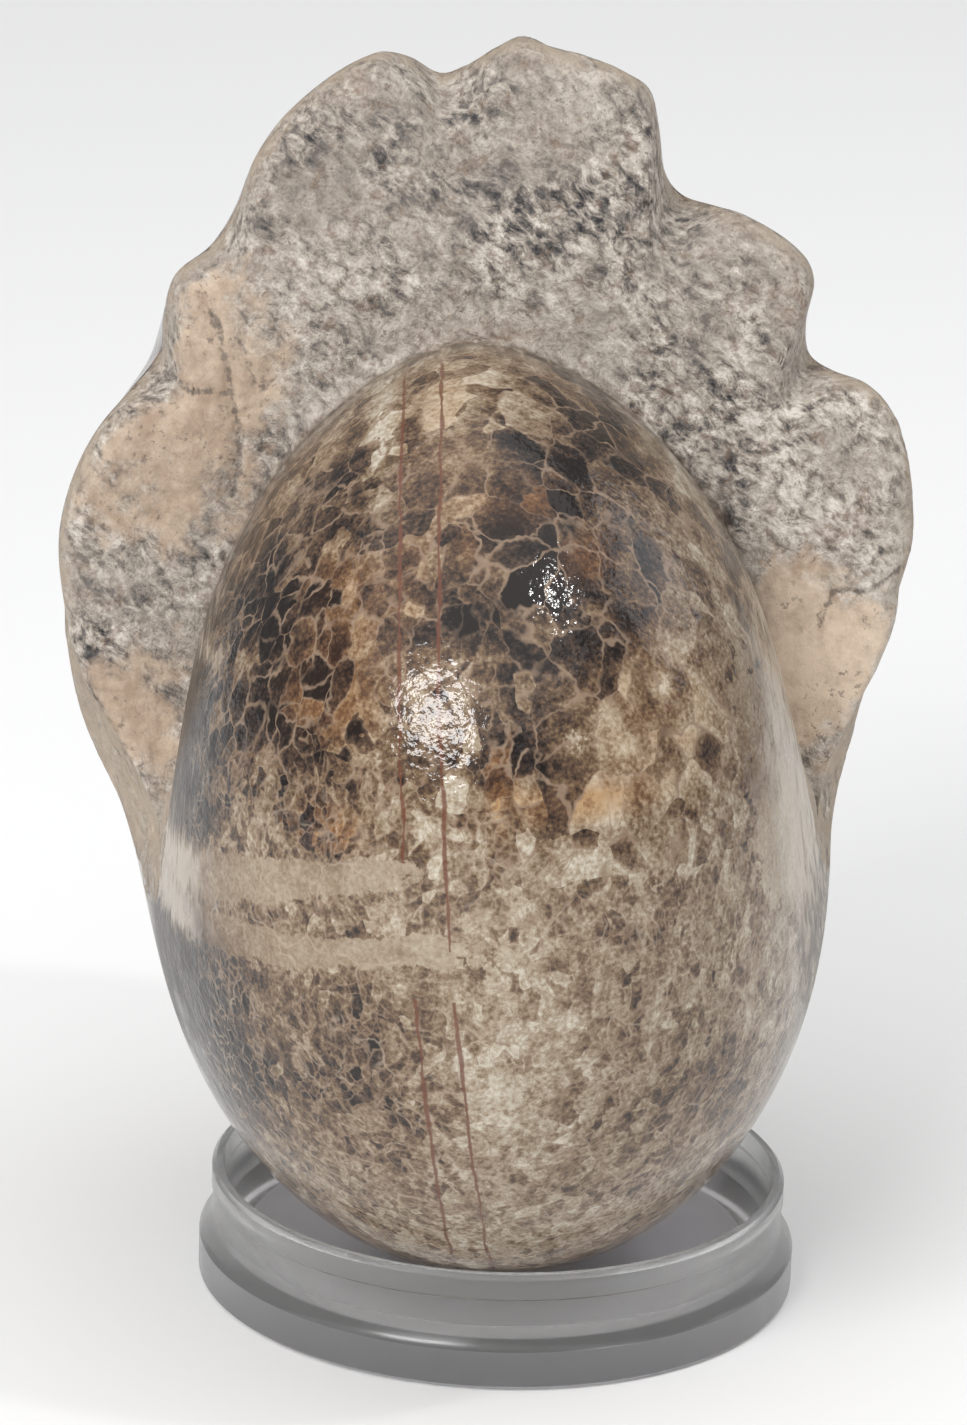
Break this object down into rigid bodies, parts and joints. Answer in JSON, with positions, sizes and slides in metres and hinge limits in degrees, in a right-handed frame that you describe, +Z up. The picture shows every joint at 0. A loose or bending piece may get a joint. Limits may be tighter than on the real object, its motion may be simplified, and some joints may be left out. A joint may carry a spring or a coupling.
{
  "type": "vascoceras ammonite fossil",
  "caption": "Polished globose ammonite with an egg-shaped inner whorl and a scalloped, rough broken end, resting in a small clear plastic stand.",
  "frame": {"origin": "middle of the bounding box at its bottom, on the surface that the stand rests on", "axes": "+Z up; -Y is the front, where the egg-shaped inner whorl and the broken end show; X is the coil axis, left to right as seen from the front"},
  "size_m": [0.1048, 0.1352, 0.1578],
  "materials": {
    "fossil_stone": "calcite fossil: the inner whorl and the shell are polished brown and cream, the broken end is matt and granular grey, cream and brown",
    "clear_plastic": "clear, slightly grey plastic with brighter edges and fine wear"
  },
  "bodies": {
    "root": {"ammonite": "fossil_stone", "display_stand": "clear_plastic"}
  },
  "joints": []
}
